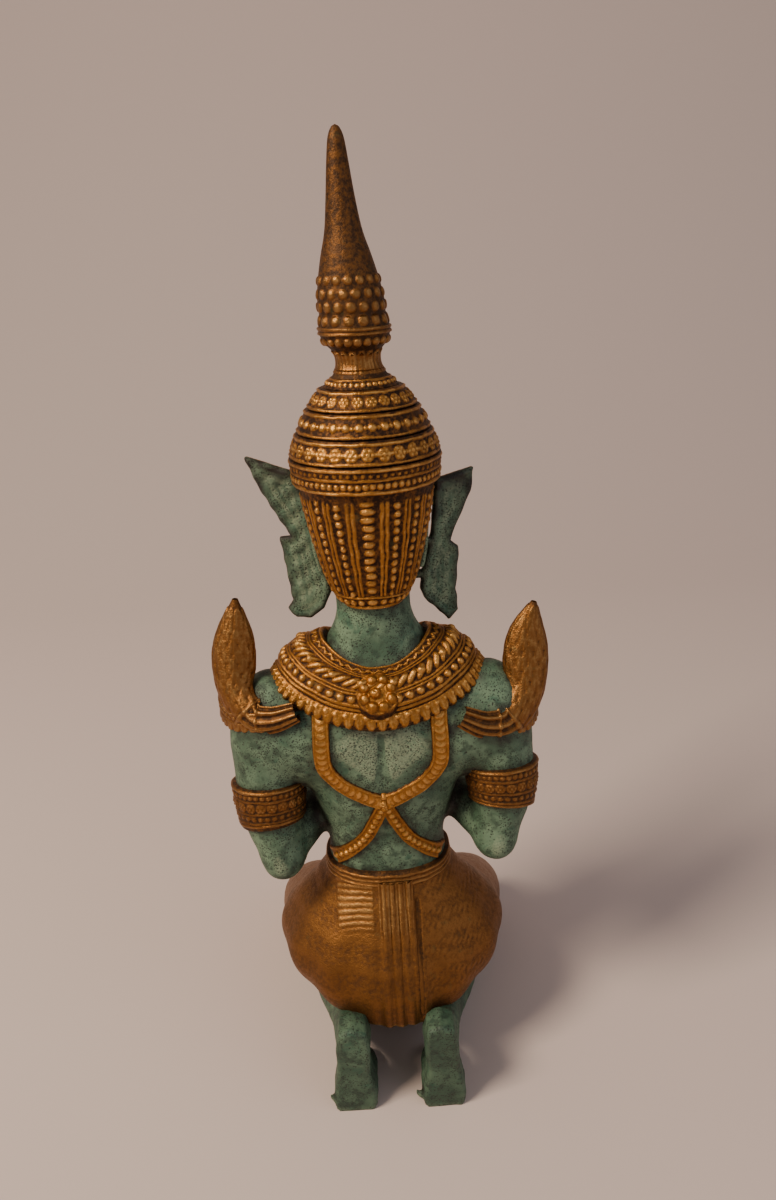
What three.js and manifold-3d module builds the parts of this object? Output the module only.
// A kneeling Theppanom, a Thai worshipping angel with the palms pressed together, cast in bronze in one piece.
// Millimetres, +Z up. The figure faces -Y, so its left side is +X, and it rests on z = 0 on its knees, shins
// and tucked toes. Every form is made about the spine, and the whole is moved at the end so that the origin
// lies under the middle of the figure.

import * as THREE from "three";
import { mergeVertices } from "three/addons/utils/BufferGeometryUtils.js";
import Module from "manifold-3d";

const wasm = await Module();
wasm.setup();

// Driving heights above the surface that the figure kneels on.
const TIP = 232;
const CROWN_TOP = 181.5;
const CROWN_RIM = 159;
const CHIN = 131;
const NECK = 126;
const COLLAR_TOP = 119;
const SHOULDER = 104;
const ARMPIT = 80;
const WAIST = 57;
const HEM = 21;
const HEEL = 27;

// Driving widths and depths, from the spine.
const CROWN_RADIUS = 17.3;
const CHEST_HALF = 24;
const WAIST_HALF = 15;
const HIP_HALF = 29.5;
const FOOT_GAP = 11.2;
const SOLE_BACK = 33.5;

const HEAD_BOW = THREE.MathUtils.degToRad(2.5);
const NECK_PIVOT = new THREE.Vector3(0, 0, 128);
const FULL_TURN = 2 * Math.PI;

const SIDES = [1, -1];
const up = new THREE.Vector3(0, 0, 1);
const across = new THREE.Vector3(1, 0, 0);

// Solids: closed three.js geometry into manifold solids and back.

function solid(geometry) {
  geometry.deleteAttribute("normal");
  geometry.deleteAttribute("uv");
  const merged = mergeVertices(geometry, 1e-4);
  const corners = merged.index.array;
  const kept = [];
  for (let i = 0; i < corners.length; i += 3) {
    const [a, b, c] = corners.slice(i, i + 3);
    if (a !== b && b !== c && c !== a) kept.push(a, b, c);
  }
  const vertProperties = merged.attributes.position.array;
  const made = (triVerts) => new wasm.Manifold(new wasm.Mesh({ numProp: 3, vertProperties, triVerts }));
  const facingOut = made(new Uint32Array(kept));
  return facingOut.volume() > 0 ? facingOut : made(new Uint32Array(kept.reverse()));
}

function join(solids) {
  return solids.reduce((whole, piece) => whole.add(piece));
}

function geometryOf(manifold) {
  const mesh = manifold.getMesh();
  const geometry = new THREE.BufferGeometry();
  geometry.setAttribute("position", new THREE.BufferAttribute(mesh.vertProperties, mesh.numProp));
  geometry.setIndex(new THREE.BufferAttribute(mesh.triVerts, 1));
  geometry.computeVertexNormals();
  return geometry;
}

// A closed skin over a stack of rings that have the same number of points.
function skin(rings) {
  const sides = rings[0].length;
  const points = rings.flat();
  const faces = [];
  for (let r = 0; r + 1 < rings.length; r++) {
    for (let i = 0; i < sides; i++) {
      const a = r * sides + i;
      const b = r * sides + ((i + 1) % sides);
      faces.push(a, b, b + sides, a, b + sides, a + sides);
    }
  }
  for (const [ring, turned] of [[0, true], [rings.length - 1, false]]) {
    const middle = rings[ring].reduce((sum, p) => sum.add(p), new THREE.Vector3()).divideScalar(sides);
    points.push(middle);
    for (let i = 0; i < sides; i++) {
      const a = ring * sides + i;
      const b = ring * sides + ((i + 1) % sides);
      faces.push(...(turned ? [b, a, points.length - 1] : [a, b, points.length - 1]));
    }
  }
  const geometry = new THREE.BufferGeometry().setFromPoints(points);
  geometry.setIndex(faces);
  return solid(geometry);
}

// One coordinate of a point on a rounded square of half-size 1: roundness 2 is a circle, higher is squarer.
const rounded = (value, roundness) => Math.sign(value) * Math.abs(value) ** (2 / roundness);

// A level ring round the spine: half is its half-width, front and back its depths from its own middle.
function levelRing(z, half, front, back, { middle = 0, roundness = 2.3, sides = 28 } = {}) {
  return Array.from({ length: sides }, (_, i) => {
    const turn = ((i + 0.5) / sides) * FULL_TURN;
    const depth = Math.sin(turn) < 0 ? front : back;
    return new THREE.Vector3(
      half * rounded(Math.cos(turn), roundness),
      middle + depth * rounded(Math.sin(turn), roundness),
      z,
    );
  });
}

// The value at z on a smooth curve through rows of [z, ...values].
function between(rows, z) {
  const last = rows.length - 1;
  const at = Math.max(0, Math.min(last - 1, rows.findLastIndex((row) => row[0] <= z)));
  const slope = (i) => {
    const low = rows[Math.max(0, i - 1)];
    const high = rows[Math.min(last, i + 1)];
    return rows[i].map((_, k) => (high[k] - low[k]) / (high[0] - low[0]));
  };
  const span = rows[at + 1][0] - rows[at][0];
  const t = Math.max(0, Math.min(1, (z - rows[at][0]) / span));
  const [from, to] = [slope(at), slope(at + 1)];
  return rows[at].map(
    (start, k) =>
      start * (1 + 2 * t) * (1 - t) ** 2 +
      from[k] * span * t * (1 - t) ** 2 +
      rows[at + 1][k] * t ** 2 * (3 - 2 * t) +
      to[k] * span * t ** 2 * (t - 1),
  );
}

// The part of a direction that is square to a path, at unit length.
function squareTo(along, direction) {
  return direction.clone().addScaledVector(along, -direction.dot(along)).normalize();
}

function pathThrough(stations) {
  const points = stations.map(([x, y, z]) => new THREE.Vector3(x, y, z));
  return new THREE.CatmullRomCurve3(points, false, "centripetal");
}

// A limb: rings square to a smooth path through stations [x, y, z, half-width, half-depth]. The half-width
// lies along wide, as near as the path allows, or square to the path and to thin, where thin is given.
function limb(stations, { wide = across, thin = null, sides = 12, steps = 2, roundness = 2 } = {}) {
  const path = pathThrough(stations);
  const count = (stations.length - 1) * steps;
  const sizes = stations.map(([, , , half, deep], i) => [i * steps, half, deep]);
  const rings = Array.from({ length: count + 1 }, (_, i) => {
    const middle = path.getPoint(i / count);
    const along = path.getTangent(i / count);
    const side = squareTo(along, thin ? along.clone().cross(thin) : wide);
    const other = along.clone().cross(side);
    const [, half, deep] = between(sizes, i);
    return Array.from({ length: sides }, (_, k) => {
      const turn = ((k + 0.5) / sides) * FULL_TURN;
      return middle
        .clone()
        .addScaledVector(side, half * rounded(Math.cos(turn), roundness))
        .addScaledVector(other, deep * rounded(Math.sin(turn), roundness));
    });
  });
  return skin(rings);
}

const mirrored = (stations, side) => stations.map(([x, ...rest]) => [side * x, ...rest]);

// A flat outline of [x, z] points, to be extruded along y.
const shapeOf = (outline) => new THREE.Shape(outline.map(([x, z]) => new THREE.Vector2(x, z)));

// The torso, from inside the skirt up into the neck.

// [z, half-width, front depth, back depth]
const TORSO = [
  [WAIST - 4, WAIST_HALF + 0.9, 11.2, 12.4],
  [WAIST + 7, WAIST_HALF, 10.2, 11.2],
  [ARMPIT - 8, WAIST_HALF + 1.4, 11.2, 11.6],
  [ARMPIT, WAIST_HALF + 4.2, 12.6, 12.8],
  [ARMPIT + 10, CHEST_HALF - 2, 13.6, 13.8],
  [SHOULDER - 4, CHEST_HALF - 0.5, 13, 14],
  [SHOULDER + 3, CHEST_HALF - 1, 11.2, 13],
  [SHOULDER + 9, CHEST_HALF - 5.5, 9.4, 11],
  [COLLAR_TOP, 13, 8, 9.2],
  [COLLAR_TOP + 4, 10.4, 7.4, 8.6],
  [NECK + 2, 8.9, 7.2, 8.2],
  [NECK + 10, 8.8, 6.5, 8],
];

function torso() {
  const first = TORSO[0][0];
  const last = TORSO.at(-1)[0];
  const count = 12;
  const rings = Array.from({ length: count + 1 }, (_, i) => {
    const z = THREE.MathUtils.lerp(first, last, i / count);
    const [, half, front, back] = between(TORSO, z);
    return levelRing(z, half, front, back, { sides: 18 });
  });
  return skin(rings);
}

// The shoulder blade and armpit, which run out from the torso into the arm.
function shoulder(side) {
  const stations = [[9, 1.6, 96, 9, 9.6], [19, 2, 96.4, 12.8, 11.4], [26.5, 2.6, 98.6, 11.4, 9.2]];
  return limb(mirrored(stations, side), { wide: up, sides: 12, steps: 1 });
}

// A point on the torso's skin, standing proud of it, at a half-width x on the back (1) or the chest (-1).
function onTorso(x, z, face, proud) {
  const [, half, front, back] = between(TORSO, z);
  const share = Math.min(0.995, Math.abs(x) / half);
  const depth = (face > 0 ? back : front) * (1 - share ** 2.3) ** (1 / 2.3);
  return new THREE.Vector3(x, face * (depth + proud), z);
}

// A flat strip laid on the torso along [x, z] points, with a low edge and a raised middle.
function strap(points, face, width, proud) {
  const line = new THREE.CatmullRomCurve3(points.map(([x, z]) => new THREE.Vector3(x, 0, z)));
  const count = points.length;
  const SECTION = [[-0.5, -1.6], [-0.42, 1], [0.42, 1], [0.5, -1.6]];
  const rings = Array.from({ length: count + 1 }, (_, i) => {
    const at = line.getPoint(i / count);
    const along = line.getTangent(i / count);
    const sideways = new THREE.Vector3(along.z, 0, -along.x).multiplyScalar(face);
    return SECTION.map(([share, rise]) => {
      const edge = at.clone().addScaledVector(sideways, share * width);
      return onTorso(edge.x, edge.z, face, rise * proud);
    });
  });
  return skin(rings);
}

const STRAP_WIDTH = 4.4;
const STRAP_PROUD = 0.9;
const BACK_CROSSING = 80.5;

function straps() {
  const upper = [[14, SHOULDER + 2], [14.3, 96], [13.6, 91], [10.4, 86.4], [5.4, 83.2], [0, BACK_CROSSING]];
  const lower = [[0, BACK_CROSSING], [2.6, 74.5], [5.4, 69], [9.4, 64.4], [13.4, 60.5]];
  const chest = [[13, SHOULDER + 2], [13, 97], [10.5, 91], [5.5, 87], [0, 85]];
  const belly = [[0, 85], [3.4, 79], [6.6, 72.5], [10, 66.5], [13.2, 60.5]];
  return SIDES.flatMap((side) => [
    strap(mirrored(upper, side), 1, STRAP_WIDTH, STRAP_PROUD),
    strap(mirrored(lower, side), 1, STRAP_WIDTH * 0.84, STRAP_PROUD),
    strap(mirrored(chest, side), -1, STRAP_WIDTH, STRAP_PROUD),
    strap(mirrored(belly, side), -1, STRAP_WIDTH * 0.84, STRAP_PROUD),
  ]);
}

// The broad collar: stepped rings that lie over the shoulders, rising from a scalloped edge to the neck.

// [reach out from the neck as a share, height above the collar's own slope]
const COLLAR_STEPS = [
  [0, -5], [0.02, 0.9], [0.32, 0.9], [0.38, 1.7], [0.68, 1.6], [0.74, 0.9], [0.98, 0.7], [1, -4],
];
const COLLAR_SIDES = 28;
// Half-width and depths of the edge at the neck and of the scalloped edge, with their heights.
const COLLAR_INNER = { half: 12.4, front: 8.8, back: 9.4, side: 121.8, middle: 116 };
const COLLAR_OUTER = { half: 27, front: 16.6, back: 16, side: 110.6, middle: 102.6 };

function collarPoint(turn, share, rise) {
  const facing = Math.sin(turn) < 0 ? "front" : "back";
  const edge = ({ half, side, middle, [facing]: deep }) =>
    new THREE.Vector3(
      half * Math.cos(turn),
      deep * Math.sin(turn),
      THREE.MathUtils.lerp(middle, side, Math.cos(turn) ** 2),
    );
  const at = edge(COLLAR_INNER).lerp(edge(COLLAR_OUTER), share);
  // Between its edges the collar arches over the slope of the shoulders.
  at.z += 1.8 * Math.sin(share * Math.PI);
  const out = new THREE.Vector3(Math.cos(turn), Math.sin(turn), 1.9 - 1.3 * share).normalize();
  return at.addScaledVector(out, rise);
}

function collar() {
  const turns = Array.from({ length: COLLAR_SIDES }, (_, i) => ((i + 0.5) / COLLAR_SIDES) * FULL_TURN);
  const rings = COLLAR_STEPS.map(([share, rise]) => turns.map((turn) => collarPoint(turn, share, rise)));
  return skin(rings.reverse());
}

// The cast flower at the nape of the collar, a boss among petals, and the lozenge on the chest.

function button(middle, facing, radius, proud, sides = 7) {
  const made = new THREE.CylinderGeometry(radius * 0.6, radius, proud * 2, sides);
  made.applyQuaternion(new THREE.Quaternion().setFromUnitVectors(new THREE.Vector3(0, 1, 0), facing));
  made.translate(middle.x, middle.y, middle.z);
  return solid(made);
}

function collarFlower() {
  const PETALS = 7;
  const petals = Array.from({ length: PETALS * 2 }, (_, i) => {
    const turn = (i / PETALS / 2) * FULL_TURN;
    const reach = i % 2 ? 2.6 : 4.6;
    return new THREE.Vector2(reach * Math.cos(turn), reach * Math.sin(turn));
  });
  const star = new THREE.ExtrudeGeometry(new THREE.Shape(petals), { depth: 2, bevelEnabled: false });
  const facing = new THREE.Vector3(0, 0.8, 0.6);
  const middle = collarPoint(Math.PI / 2, 0.53, 0.8);
  star.applyQuaternion(new THREE.Quaternion().setFromUnitVectors(new THREE.Vector3(0, 0, 1), facing));
  star.translate(middle.x, middle.y, middle.z);
  return join([solid(star), button(middle.clone().addScaledVector(facing, 1.6), facing, 2.2, 1.8)]);
}

function pectoral() {
  const height = 90;
  const lozenge = [[0, -9], [6.5, 0], [0, 7.5], [-6.5, 0]];
  const plate = new THREE.ExtrudeGeometry(shapeOf(lozenge), {
    depth: 6,
    bevelThickness: 1,
    bevelSize: 1.2,
    bevelSegments: 1,
  });
  plate.rotateX(Math.PI / 2);
  plate.translate(0, -9.4, height);
  const boss = button(new THREE.Vector3(0, -15.6, height), new THREE.Vector3(0, -1, 0), 2.6, 1.8);
  return join([solid(plate), boss]);
}

// Arms: the elbows hang beside the waist and the forearms come forward to the pressed palms.

// [x, y, z, half-width, half-depth]
const UPPER_ARM = [
  [25, 1.6, 111.4, 3, 3.6],
  [26.4, 1.6, 107.6, 7.4, 7.6],
  [28, 2, 101, 8.8, 9.4],
  [29, 3.4, 91, 8.4, 8.7],
  [28.9, 6, 78, 7.6, 7.4],
  [28, 8.2, 70, 5.8, 6],
  [26.8, 9.6, 64.4, 4.9, 4.9],
  [26.4, 9.8, 61, 2.4, 2.4],
];
const FOREARM = [
  [26.8, 9.6, 64.6, 4.7, 4.6],
  [24, 3, 67, 5.6, 5.8],
  [17, -6.5, 71, 5, 5.4],
  [9.6, -15.4, 75.2, 3.7, 4.2],
  [5.4, -19.4, 78, 3, 4],
];
// Where the armband lies along the upper arm and the bracelet along the forearm, as shares of the limb.
const ARM_BAND = [0.49, 0.63];
const BRACELET = [0.72, 0.86];
// The left arm hangs lower than the right, by twice this.
const ARM_DROOP = 1.5;

// The arm's stations with its own droop, which grows from the shoulder down to the elbow and dies at the wrist.
function drooped(stations, side) {
  return mirrored(stations, side).map(([x, y, z, ...sizes]) => {
    const hang = THREE.MathUtils.smoothstep(-z, -100, -80) * THREE.MathUtils.smoothstep(y, -16, 6);
    return [x + (side < 0 ? -hang : 0), y, z - side * ARM_DROOP * hang, ...sizes];
  });
}

function arm(side) {
  const upper = drooped(UPPER_ARM, side);
  const fore = drooped(FOREARM, side);
  return join([
    limb(upper, { sides: 10, steps: 1 }),
    limb(fore, { wide: up, sides: 8, steps: 1 }),
    bandRound(upper, ARM_BAND, 1.2),
    bandRound(fore, BRACELET, 0.8, up),
  ]);
}

// A rimmed band round a limb, a little thicker than the limb.
function bandRound(stations, [start, end], proud, wide = across) {
  const path = pathThrough(stations);
  const sizes = stations.map(([, , , half, deep], i) => [i / (stations.length - 1), half, deep]);
  const PROFILE = [[0, -0.6], [0.04, 1], [0.24, 0.5], [0.76, 0.5], [0.96, 1], [1, -0.6]];
  const sides = 10;
  const rings = PROFILE.map(([share, rise]) => {
    const t = THREE.MathUtils.lerp(start, end, share);
    const along = path.getTangent(t);
    const side = squareTo(along, wide);
    const other = along.clone().cross(side);
    const [, half, deep] = between(sizes, t);
    return Array.from({ length: sides }, (_, k) => {
      const turn = ((k + 0.5) / sides) * FULL_TURN;
      return path
        .getPoint(t)
        .addScaledVector(side, (half + proud * rise) * Math.cos(turn))
        .addScaledVector(other, (deep + proud * rise) * Math.sin(turn));
    });
  });
  return skin(rings);
}

// The hands: two flat palms pressed together, the fingers straight up, the thumbs toward the chest.
const WRIST = 78;
const FINGERTIP = 103;

const FINGER_LENGTHS = [0.9, 1, 0.97, 0.84];

function hand(side) {
  // Each ring lies across the hand: a flat inner face, and an outer face that dips between the fingers.
  // [z share of the way to the fingertips, thickness, width, middle of the hand along y, depth of the dips]
  const LEVELS = [
    [0, 4.6, 7.4, -20, 0],
    [0.25, 5.4, 9.6, -21.4, 0],
    [0.5, 4.6, 10.4, -22.6, 0.5],
    [0.76, 3.2, 8.8, -23.8, 1.1],
    [1, 1.5, 6.4, -24.8, 0.5],
  ];
  const dips = FINGER_LENGTHS.length * 2;
  const rings = LEVELS.map(([share, thick, wide, middle, dip]) => {
    const at = (i, x) => {
      const place = i / dips - 0.5;
      const finger = FINGER_LENGTHS[Math.min(FINGER_LENGTHS.length - 1, Math.floor(i / 2))];
      const z = THREE.MathUtils.lerp(WRIST - 2, FINGERTIP, share * (share > 0.5 ? finger : 1));
      return new THREE.Vector3(side * x, middle + place * wide, z);
    };
    const outer = Array.from({ length: dips + 1 }, (_, i) => {
      const arch = 1 - 0.5 * Math.abs(i / dips - 0.5);
      return at(i, thick * arch - (i % 2 ? 0 : dip));
    });
    return [...outer, at(dips, -0.4), at(0, -0.4)];
  });
  const thumb = limb(
    [
      [side * 3, -16.8, WRIST + 2, 1.7, 1.7],
      [side * 2, -16.6, WRIST + 9, 1.5, 1.5],
      [side * 1.2, -18, WRIST + 14, 0.8, 0.8],
    ],
    { sides: 6, steps: 1 },
  );
  return join([skin(rings), thumb]);
}

// The head, its features, the cover over the back of the head and the tiered crown with its spire.

// [z, half-width, half-depth, middle]
const HEAD = [
  [CHIN, 4.2, 3.4, -7.6],
  [CHIN + 1.6, 6.8, 6.6, -5.6],
  [CHIN + 5.5, 9.6, 10.2, -3],
  [CHIN + 11, 11.4, 12.2, -1.4],
  [CHIN + 17, 12.2, 13, -0.8],
  [CHIN + 23, 12.8, 13.4, -0.4],
  [CROWN_RIM + 3, 13.2, 13.8, 0],
];

function headRing(z) {
  const [, half, deep, middle] = between(HEAD, z);
  return levelRing(z, half, deep, deep, { middle, roundness: 2.1, sides: 16 });
}

function faceFront(z) {
  const [, , deep, middle] = between(HEAD, z);
  return middle - deep;
}

function face() {
  const levels = [0, 0.06, 0.16, 0.3, 0.46, 0.64, 0.82, 1];
  const skull = skin(levels.map((share) => headRing(THREE.MathUtils.lerp(CHIN, CROWN_RIM + 3, share))));
  const nose = limb(
    [
      [0, faceFront(153) + 0.6, 154, 1, 1],
      [0, faceFront(149) - 0.2, 149.5, 1.1, 1.4],
      [0, faceFront(145) - 0.6, 145.4, 2, 2.2],
      [0, faceFront(143) + 0.6, 143.2, 1.6, 1.2],
    ],
    { sides: 6, steps: 1 },
  );
  const lip = (z, half, deep) =>
    limb(
      [
        [-half, faceFront(z) + 1, z + 0.7, 0.3, 0.3],
        [-half / 2, faceFront(z) + 0.1, z, deep, deep],
        [half / 2, faceFront(z) + 0.1, z, deep, deep],
        [half, faceFront(z) + 1, z + 0.7, 0.3, 0.3],
      ],
      { wide: up, sides: 4, steps: 1 },
    );
  const features = [nose, lip(140.4, 4, 0.8), lip(138.8, 3.2, 0.9)];
  for (const side of SIDES) {
    const brow = [
      [side * 1.2, faceFront(151), 150.6, 0.5, 0.5],
      [side * 4.2, faceFront(152) + 0.5, 152.6, 0.7, 0.7],
      [side * 8.2, faceFront(152) + 3, 151.4, 0.4, 0.4],
    ];
    const lid = [
      [side * 2.2, faceFront(147) + 0.6, 147.2, 0.4, 0.4],
      [side * 4.9, faceFront(148) + 0.9, 148, 1.3, 1.1],
      [side * 8.2, faceFront(148) + 3, 148, 0.4, 0.4],
    ];
    const lobe = [
      [side * 12.4, -1, 151, 0.8, 1.6],
      [side * 12.6, -1, 145, 0.9, 2.2],
      [side * 11.6, -1, 136, 0.8, 1.3],
    ];
    features.push(limb(brow, { wide: up, sides: 4, steps: 1 }));
    features.push(limb(lid, { wide: up, sides: 5, steps: 1 }));
    features.push(limb(lobe, { sides: 5, steps: 1 }));
  }
  return join([skull, ...features]);
}

// [z, half-width, back depth] of the ribbed cover, which ends in a rounded tongue on the nape
const COVER = [
  [CHIN - 0.6, 5.4, 9.2],
  [CHIN + 0.6, 7.6, 10],
  [CHIN + 3.5, 9.6, 11],
  [CHIN + 8, 11.2, 12.4],
  [CHIN + 18, 13.6, 14.4],
  [CROWN_RIM - 1, 15.2, 15.6],
  [CROWN_RIM + 2, 15.8, 16],
];

function headCover() {
  const RIBS = 7;
  const sides = RIBS * 2;
  const count = 7;
  const rings = Array.from({ length: count + 1 }, (_, r) => {
    const z = THREE.MathUtils.lerp(COVER[0][0], COVER.at(-1)[0], (r / count) ** 1.3);
    const [, half, back] = between(COVER, z);
    const outline = Array.from({ length: sides + 1 }, (_, i) => {
      const turn = (i / sides) * Math.PI;
      const rib = i % 2 ? -0.4 : 0.4;
      const x = (half + rib) * rounded(Math.cos(turn), 2.5);
      return new THREE.Vector3(x, (back + rib) * rounded(Math.sin(turn), 2.5), z);
    });
    return [...outline, new THREE.Vector3(0, -2, z)];
  });
  return skin(rings);
}

// [radius, z] of the tiered crown, from under its rim up to the foot of the spire
function crownProfile() {
  const TIERS = [
    { low: CROWN_RIM, high: CROWN_RIM + 6, from: 16.6, to: 17.3 },
    { low: CROWN_RIM + 6.4, high: CROWN_RIM + 11.4, from: 17, to: 15.3 },
    { low: CROWN_RIM + 11.8, high: CROWN_RIM + 16.6, from: 15, to: 12.6 },
    { low: CROWN_RIM + 17, high: CROWN_RIM + 21, from: 12.3, to: 9.2 },
  ];
  const GROOVE = 0.6;
  const profile = [[0, CROWN_RIM - 1], [CROWN_RADIUS - 2, CROWN_RIM - 1]];
  for (const { low, high, from, to } of TIERS) {
    profile.push([from - GROOVE, low - 0.2]);
    profile.push([from, low + 0.5]);
    profile.push([to, high - 0.4]);
  }
  profile.push([7, CROWN_TOP], [6, CROWN_TOP + 0.6]);
  return profile;
}

// [radius, z] of the fluted stem, the lotus bud and the plain tapering spire
const SPIRE = [
  [4.9, 184.4],
  [4.9, 187],
  [6.8, 189.4],
  [7.8, 192],
  [7.2, 195],
  [7.2, 198],
  [6.6, 202],
  [5.4, 207],
  [4, 212],
  [3.1, 218],
  [2.3, 225],
  [1.7, 229.4],
  [0, TIP],
];
const SPIRE_SWAY = 2.2;

function crown() {
  const profile = [...crownProfile(), ...SPIRE].map(([radius, z]) => new THREE.Vector2(radius, z));
  const made = new THREE.LatheGeometry(profile, 16);
  made.rotateX(Math.PI / 2);
  const position = made.getAttribute("position");
  for (let i = 0; i < position.count; i++) {
    const height = Math.max(0, (position.getZ(i) - CROWN_TOP) / (TIP - CROWN_TOP));
    position.setX(i, position.getX(i) + SPIRE_SWAY * Math.sin((height * Math.PI) / 2));
  }
  return solid(made);
}

// The diadem that stands over the forehead, one flame with two lower leaves on each side.
function diadem() {
  const leaves = [[12.6, 0], [12, 6], [9.6, 4.4], [7.4, 9.6], [4.6, 6.4]];
  const outline = [...leaves, [0, 15.5], ...leaves.map(([x, z]) => [-x, z]).reverse()];
  const made = new THREE.ExtrudeGeometry(shapeOf(outline), {
    depth: 4.4,
    bevelEnabled: false,
  });
  made.rotateX(Math.PI / 2);
  made.translate(0, -14.8, CROWN_RIM - 3.6);
  const position = made.getAttribute("position");
  for (let i = 0; i < position.count; i++) {
    // The plate follows the brow round the head and leans back against the crown.
    const lean = 0.14 * (position.getZ(i) - CROWN_RIM);
    position.setY(i, position.getY(i) + 0.032 * position.getX(i) ** 2 + lean);
  }
  return solid(made);
}

// The flame-shaped ear ornaments, thin plates that stand out beside the cheeks.

// [x, z] from the top of the inner edge round the outside. The two were cast from different patterns: the
// left tip stands higher and wider.
const EAR_FLAME_LEFT = [
  [15.6, 160.6], [28, 164.9], [25.4, 157.9], [22.3, 152.1], [18.5, 145.6], [21.3, 145.4], [20.2, 136.4],
  [19.4, 129.5], [20.9, 127.4], [18.8, 125], [15.2, 125], [12, 127.4], [9.8, 131.7], [11.4, 140],
];
const EAR_FLAME_RIGHT = [
  [-15.8, 157.4], [-25.2, 159.6], [-24.4, 153.9], [-21.5, 148], [-19.1, 142.2], [-21.2, 140.6], [-20.2, 130],
  [-20.6, 124.6], [-18.2, 122.2], [-15.8, 124.8], [-12.3, 128.4], [-11.4, 131], [-12.4, 137], [-14.6, 145],
];
const EAR_THICK = 2;
// Heights and radius of the cast knobs that bridge the gap from each ear to its ornament.
const EAR_KNOBS = [134.5, 142.5, 150.5];
const EAR_KNOB = 1.3;

// The plate turns about an upright line beside the cheek, so that its outer edge stands further forward.
function earFlame(outline, turn) {
  const hinge = 11 * Math.sign(outline[0][0]);
  const made = new THREE.ExtrudeGeometry(shapeOf(outline), {
    depth: EAR_THICK,
    bevelEnabled: false,
  });
  made.rotateX(Math.PI / 2);
  made.translate(-hinge, EAR_THICK / 2, 0);
  made.rotateZ(turn);
  made.translate(hinge, -2.4, 0);
  const out = Math.sign(hinge);
  const knobs = EAR_KNOBS.map((z) => {
    const stations = [[out * 9, -3, z, EAR_KNOB, EAR_KNOB], [out * 17, -1.6, z + 0.5, EAR_KNOB, EAR_KNOB]];
    return limb(stations, { wide: up, sides: 4, steps: 1 });
  });
  return join([solid(made), ...knobs]);
}

// Epaulets: a band from the collar over the back of the shoulder that turns up into a pointed leaf, and a cuff
// that closes it round the front.

// [x, y, z, half-width, half-thickness] from the collar out and up to the tip. The right one is set lower and
// leans outward.
const EPAULET_LEFT = [
  [19.5, 12.2, 107, 2.4, 1.8],
  [25.5, 11.8, 105, 3.4, 2],
  [30.4, 9.6, 105, 4.2, 2.4],
  [34.2, 6, 110, 4.2, 2.8],
  [34.3, 3.4, 117, 5.2, 2.9],
  [33.6, 2, 124, 4.2, 2.4],
  [32.6, 1.4, 132.2, 0.7, 0.8],
];
const EPAULET_RIGHT = [
  [-19.5, 12.4, 103.6, 2.6, 1.8],
  [-25.5, 12, 100.6, 3.6, 2],
  [-31.4, 9.8, 100.6, 4.2, 2.4],
  [-35.4, 6, 106, 4.6, 2.8],
  [-36, 3.4, 113.6, 5.4, 2.9],
  [-36.6, 2, 120.4, 4.2, 2.4],
  [-38.2, 1.4, 127.6, 0.7, 0.8],
];

function epaulet(horn) {
  const side = Math.sign(horn[0][0]);
  const low = horn[1][2];
  const cuff = [
    [side * 19, -8.6, low + 1.6],
    [side * 28, -9.6, low - 0.4],
    [side * 35.6, -5, low - 1],
    [side * 38.2, 1.4, low - 0.6],
    [side * 35, 8, low - 1.4],
    [side * 27, 11.6, low - 0.4],
  ];
  const facingBack = new THREE.Vector3(0, side, 0);
  const leaf = limb(horn, { thin: facingBack, sides: 8, steps: 1, roundness: 1.7 });
  return join([leaf, cuffBand(cuff, 1.5, 2.8)]);
}

// A flat band on edge along a path.
function cuffBand(points, thick, tall) {
  const path = pathThrough(points);
  const SECTION = [[0.8, 1], [0.8, -1], [-1, -1], [-1, 1]];
  const count = points.length + 1;
  const rings = Array.from({ length: count + 1 }, (_, i) => {
    const along = path.getTangent(i / count);
    const out = along.clone().cross(up).normalize();
    const rise = out.clone().cross(along);
    return SECTION.map(([o, u]) =>
      path.getPoint(i / count).addScaledVector(out, o * thick).addScaledVector(rise, u * tall),
    );
  });
  return skin(rings);
}

// The skirt: hips and buttocks, then the thighs that spread to the knees.

// [z, half-width, front depth, back depth]
const SKIRT = [
  [HEM - 1.5, 15.5, 18, 24],
  [HEM + 1.5, 21, 18, 26],
  [HEM + 4, 24.5, 18, 26.6],
  [HEM + 7.5, 27.6, 17.6, 26.2],
  [HEM + 13, HIP_HALF, 16.6, 24.6],
  [HEM + 19, 27.2, 15.2, 22],
  [HEM + 25, 23, 13.6, 18.8],
  [HEM + 30, 18.8, 12.4, 16],
  [WAIST - 2, 16.4, 11.8, 13.8],
  [WAIST + 1.4, 15.8, 11.4, 13],
];

function skirt() {
  const folds = 14;
  const sides = folds * 2;
  const count = 7;
  const rings = Array.from({ length: count + 1 }, (_, r) => {
    const z = THREE.MathUtils.lerp(SKIRT[0][0], SKIRT.at(-1)[0], r / count);
    const [, half, front, back] = between(SKIRT, z);
    const depth = 0.5 * (1 - r / count);
    return levelRing(z, half, front, back, { roundness: 2.2, sides }).map((p, i) => {
      const fold = 1 + (i % 2 ? -depth : depth) / half;
      return new THREE.Vector3(p.x * fold, p.y * fold, z);
    });
  });
  return skin(rings);
}

// The belt, and the panel of pressed folds that falls from it at the back, a little to the right.
const PANEL = { from: 3.6, to: -9.8, folds: 4, proud: 1.1, valley: 0.35 };

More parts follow.
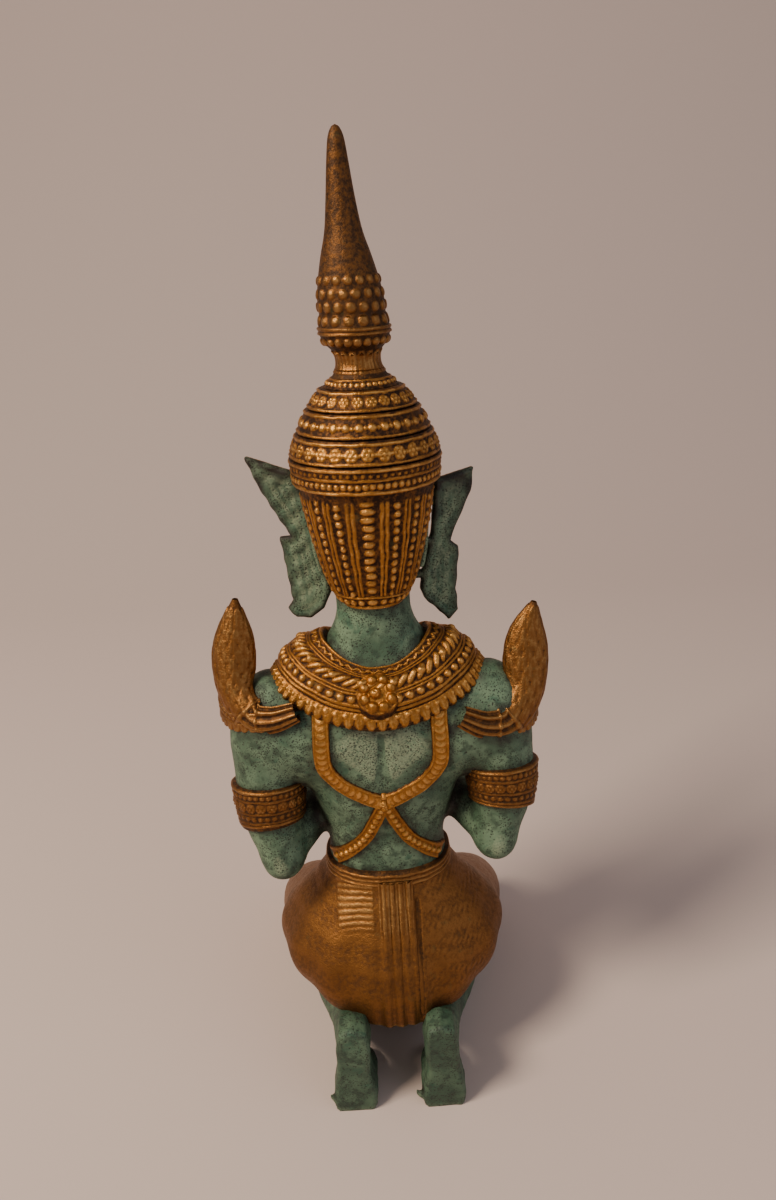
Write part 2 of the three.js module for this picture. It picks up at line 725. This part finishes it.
function backPanel() {
  const low = HEM - 2.5;
  const count = 7;
  const strips = PANEL.folds * 2;
  const rings = Array.from({ length: count + 1 }, (_, r) => {
    const z = THREE.MathUtils.lerp(low, WAIST, r / count);
    const [, half, , back] = between(SKIRT, Math.max(z, SKIRT[0][0]));
    const spread = THREE.MathUtils.lerp(1, 0.55, r / count);
    const at = (share, proud) => {
      const x = THREE.MathUtils.lerp(PANEL.from, PANEL.to, share) * spread;
      const depth = back * (1 - Math.abs(x / half) ** 2.2) ** (1 / 2.2);
      return new THREE.Vector3(x, depth + proud, z);
    };
    const shares = Array.from({ length: strips + 1 }, (_, i) => i / strips);
    const face = shares.map((share, i) => at(share, PANEL.proud * (i % 2 ? 1 : PANEL.valley)));
    return [...face, at(1, -3), at(0, -3)];
  });
  return skin(rings);
}

function belt() {
  const PROFILE = [[-1.6, -2], [-1.6, 0.3], [0, 0.8], [1.6, 0.3], [1.6, -2]];
  const [, half, front, back] = between(SKIRT, WAIST);
  const ring = (dz, proud) => levelRing(WAIST + dz, half + proud, front + proud, back + proud, { sides: 18 });
  return skin(PROFILE.map(([dz, proud]) => ring(dz, proud)));
}

// [x, y, z, half-width, half-depth]
const THIGH = [
  [11, 8, 34, 10, 11],
  [15.6, -4, 31.5, 13, 12.6],
  [19.4, -17, 25.5, 12.4, 12],
  [22.6, -29, 17.6, 11, 11],
  [24, -38, 11.6, 9.2, 9.8],
  [24.6, -44.2, 9.6, 6.8, 7.4],
  [24.8, -47.4, 8.8, 2.8, 3.4],
];
const SHIN = [
  [24, -43.6, 7.4, 3.4, 5.2],
  [23.4, -38, 7, 6.4, 8],
  [21.6, -24, 7, 7, 8.4],
  [16.4, -4, 9, 7, 8],
  [12.6, 14, 14, 5.4, 6.4],
  [11.6, 25, 19.5, 4.6, 5.2],
];

function leg(side) {
  return join([
    limb(mirrored(THIGH, side), { sides: 12, steps: 1 }),
    limb(mirrored(SHIN, side), { sides: 9, steps: 1 }),
    foot(side),
  ]);
}

// A foot stood on its tucked toes, its sole facing back.
function foot(side) {
  const outline = [
    [FOOT_GAP - 5, -1],
    [FOOT_GAP + 5.6, -1],
    [FOOT_GAP + 6, 4],
    [FOOT_GAP + 4.6, 12],
    [FOOT_GAP + 4.4, 20],
    [FOOT_GAP + 3.4, HEEL - 1.5],
    [FOOT_GAP, HEEL],
    [FOOT_GAP - 3.6, HEEL - 1.5],
    [FOOT_GAP - 4.4, 20],
    [FOOT_GAP - 3.8, 12],
    [FOOT_GAP - 5.4, 4],
  ];
  const made = new THREE.ExtrudeGeometry(shapeOf(mirrored(outline, side)), {
    depth: 7,
    bevelThickness: 1.2,
    bevelSize: 0.8,
    bevelOffset: -0.8,
    bevelSegments: 1,
  });
  made.rotateX(Math.PI / 2);
  made.translate(0, SOLE_BACK - 1.2, 0);
  const toes = limb(
    [
      [side * FOOT_GAP, SOLE_BACK - 4, 3.2, 5.4, 3.4],
      [side * FOOT_GAP, SOLE_BACK - 12, 2.6, 5.6, 2.8],
      [side * FOOT_GAP, SOLE_BACK - 17, 1.6, 4.6, 1.6],
    ],
    { sides: 8, steps: 1 },
  );
  return join([solid(made), toes]);
}

// The panel that hangs from the belt in front and runs forward over the lap.
function frontPanel() {
  const half = [[5, WAIST - 1], [5.6, 46], [7, 34], [9.4, 16], [7, 12.4], [3.4, 11]];
  const outline = [...half, [0, 6], ...half.map(([x, z]) => [-x, z]).reverse()];
  const made = new THREE.ExtrudeGeometry(shapeOf(outline), {
    depth: 9,
    bevelThickness: 1,
    bevelSize: 1,
    bevelOffset: -1,
    bevelSegments: 1,
  });
  made.rotateX(Math.PI / 2);
  const position = made.getAttribute("position");
  for (let i = 0; i < position.count; i++) {
    const drop = (WAIST - position.getZ(i)) / WAIST;
    position.setY(i, position.getY(i) - 4 - 18 * Math.sin(drop * 1.6));
  }
  return solid(made);
}

// Assembly: everything is one casting, cut flat where it rests.

function underFloor() {
  const made = new THREE.BoxGeometry(200, 200, 20);
  made.translate(0, 0, -10);
  return solid(made);
}

function bowed(headPieces) {
  const geometry = geometryOf(join(headPieces));
  geometry.translate(0, 0, -NECK_PIVOT.z);
  geometry.rotateX(HEAD_BOW);
  geometry.translate(0, 0, NECK_PIVOT.z);
  return solid(geometry);
}

const head = bowed([
  face(),
  headCover(),
  crown(),
  diadem(),
  earFlame(EAR_FLAME_LEFT, -0.1),
  earFlame(EAR_FLAME_RIGHT, 0.2),
]);

const body = join([
  torso(),
  ...straps(),
  collar(),
  collarFlower(),
  pectoral(),
  belt(),
  skirt(),
  backPanel(),
  frontPanel(),
  ...SIDES.flatMap((side) => [shoulder(side), arm(side), hand(side), leg(side)]),
  epaulet(EPAULET_LEFT),
  epaulet(EPAULET_RIGHT),
]);

// Slivers and pinholes left where two skins nearly meet are dropped: the casting is the one large shell.
const shells = body.add(head).subtract(underFloor()).decompose();
const casting = geometryOf(shells.sort((a, b) => b.volume() - a.volume())[0]);
casting.computeBoundingBox();
const middle = casting.boundingBox.getCenter(new THREE.Vector3());
casting.translate(-middle.x, -middle.y, 0);

const verdigris = new THREE.MeshStandardMaterial({ color: 0x6f8f74, roughness: 0.7, metalness: 0.35 });
const figure = new THREE.Mesh(casting, verdigris);
figure.name = "theppanom_casting";

const statue = new THREE.Group();
statue.add(figure);

export default statue;
